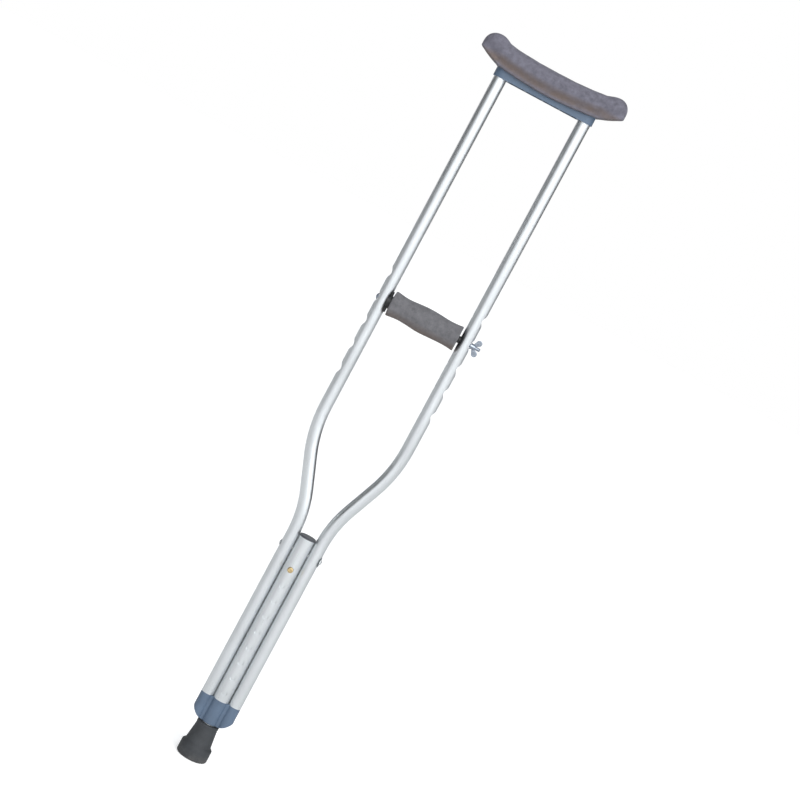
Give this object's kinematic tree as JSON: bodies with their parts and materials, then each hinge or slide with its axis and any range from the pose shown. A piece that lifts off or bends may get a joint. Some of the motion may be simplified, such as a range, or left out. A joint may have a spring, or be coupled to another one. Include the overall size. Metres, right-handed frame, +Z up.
{
  "type": "underarm crutch",
  "caption": "Aluminium underarm crutch with a padded crescent saddle, a foam handgrip on a wing-nut bolt and a push-button telescopic leg on a rubber tip.",
  "frame": {"origin": "centre of the rubber tip's foot, on the floor under the crutch's centre line", "axes": "+Z up the crutch's centre line to the underarm pad, +X towards the bow with the wing nut, the snap button faces -Y"},
  "size_m": [0.224, 0.0474, 1.113],
  "materials": {
    "tube_aluminium": "satin",
    "rivet_aluminium": "satin",
    "plated_steel": "satin",
    "spring_steel": "satin",
    "brass": "satin",
    "blue_grey_plastic": "satin",
    "dark_plastic": "satin",
    "black_plastic": "satin",
    "pad_foam": "matte",
    "grip_foam": "matte",
    "tip_rubber": "matte"
  },
  "bodies": {
    "frame": {"left_bow": "tube_aluminium", "right_bow": "tube_aluminium", "center_tube": "tube_aluminium", "center_tube_cap": "dark_plastic", "bottom_collar": "blue_grey_plastic", "cross_rivet": "rivet_aluminium", "cross_rivet_washer": "rivet_aluminium", "saddle": "blue_grey_plastic", "saddle_rivets": "rivet_aluminium", "underarm_pad": "pad_foam", "grip_bolt": "plated_steel", "grip_spacer_left": "black_plastic", "grip_spacer_right": "black_plastic"},
    "leg": {"leg_tube": "tube_aluminium", "tip": "tip_rubber", "tip_washer": "plated_steel", "button_spring": "spring_steel"},
    "button": {"snap_button": "brass"},
    "grip": {"grip_core": "black_plastic", "grip_foam": "grip_foam"},
    "washer": {"grip_washer": "plated_steel"},
    "nut": {"wing_nut": "plated_steel"}
  },
  "joints": [
    {"name": "leg_extend", "type": "slide", "parent": "frame", "child": "leg", "axis": [0, 0, -1], "range_m": [0, 0.2032], "deforming": ["snap_button", "button_spring"]},
    {"name": "snap_button_press", "type": "slide", "parent": "leg", "child": "button", "axis": [0, 1, 0], "range_m": [0, 0.005], "stiffness_N_per_m": 1500, "deforming": ["button_spring"]},
    {"name": "grip_turn", "type": "hinge", "parent": "frame", "child": "grip", "pos_m": [0, 0, 0.7134], "axis": [1, 0, 0], "continuous": true},
    {"name": "grip_washer_travel", "type": "slide", "parent": "frame", "child": "washer", "axis": [1, 0, 0], "range_m": [0, 0.008]},
    {"name": "wing_nut_turn", "type": "hinge", "parent": "washer", "child": "nut", "pos_m": [0.078, 0, 0.7134], "axis": [1, 0, 0], "range_deg": [0, 3600]}
  ],
  "couplings": [
    {"joint": "grip_washer_travel", "follows": "wing_nut_turn", "m_per_rad": 0.00012732}
  ]
}
